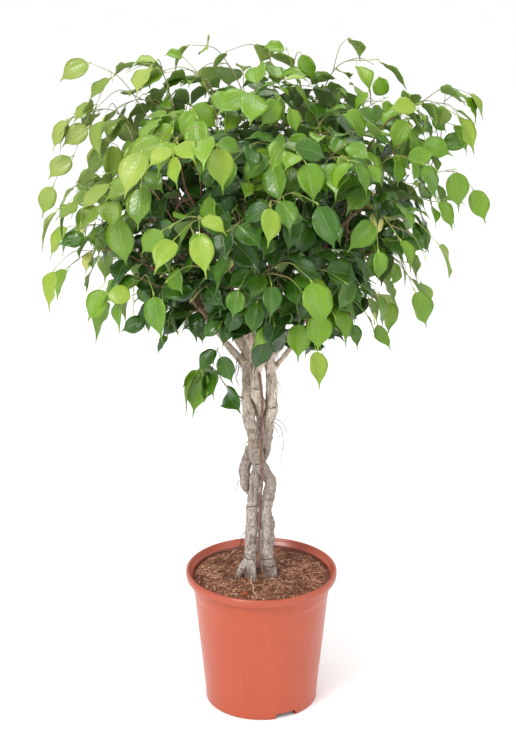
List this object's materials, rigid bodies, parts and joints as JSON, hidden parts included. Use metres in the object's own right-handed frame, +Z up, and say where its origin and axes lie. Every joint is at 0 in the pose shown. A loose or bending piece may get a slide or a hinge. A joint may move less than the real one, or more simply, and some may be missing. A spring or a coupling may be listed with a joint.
{
  "type": "potted weeping fig",
  "caption": "Small-leaved fig tree grown as a standard: three plaited stems under a broad drooping crown, in a round plastic nursery pot filled with bark compost.",
  "frame": {"origin": "middle of the pot's flat underside", "axes": "+Z up along the pot's axis, -Y towards the side the picture shows, +X to the right of it"},
  "size_m": [0.7541, 0.7778, 1.1792],
  "materials": {
    "pot": "terracotta-coloured injection-moulded plastic with a soft sheen",
    "compost": "moist brown bark and coir compost with fibres and chips",
    "bark": "pale grey-brown bark, fine ridges, ring scars and lenticels",
    "root_bark": "thin red-brown aerial root",
    "foliage": "glossy green leaves, paler when young, on thin green-brown shoots"
  },
  "bodies": {
    "root": {"aerial_root": "root_bark", "low_sprig": "foliage", "pot": "pot", "soil": "compost", "spray_01": "foliage", "spray_02": "foliage", "spray_03": "foliage", "spray_04": "foliage", "spray_05": "foliage", "spray_06": "foliage", "spray_07": "foliage", "spray_08": "foliage", "spray_09": "foliage", "spray_10": "foliage", "spray_11": "foliage", "spray_12": "foliage", "spray_13": "foliage", "spray_14": "foliage", "spray_15": "foliage", "spray_16": "foliage", "spray_17": "foliage", "spray_18": "foliage", "spray_19": "foliage", "spray_20": "foliage", "spray_21": "foliage", "spray_22": "foliage", "spray_23": "foliage", "spray_24": "foliage", "spray_25": "foliage", "spray_26": "foliage", "spray_27": "foliage", "spray_28": "foliage", "spray_29": "foliage", "spray_30": "foliage", "spray_31": "foliage", "spray_32": "foliage", "spray_33": "foliage", "spray_34": "foliage", "spray_35": "foliage", "spray_36": "foliage", "spray_37": "foliage", "spray_38": "foliage", "spray_39": "foliage", "spray_40": "foliage", "spray_41": "foliage", "spray_42": "foliage", "spray_43": "foliage", "spray_44": "foliage", "spray_45": "foliage", "spray_46": "foliage", "spray_47": "foliage", "spray_48": "foliage", "spray_49": "foliage", "spray_50": "foliage", "spray_51": "foliage", "stem_front": "bark", "stem_left": "bark", "stem_right": "bark"}
  },
  "joints": []
}
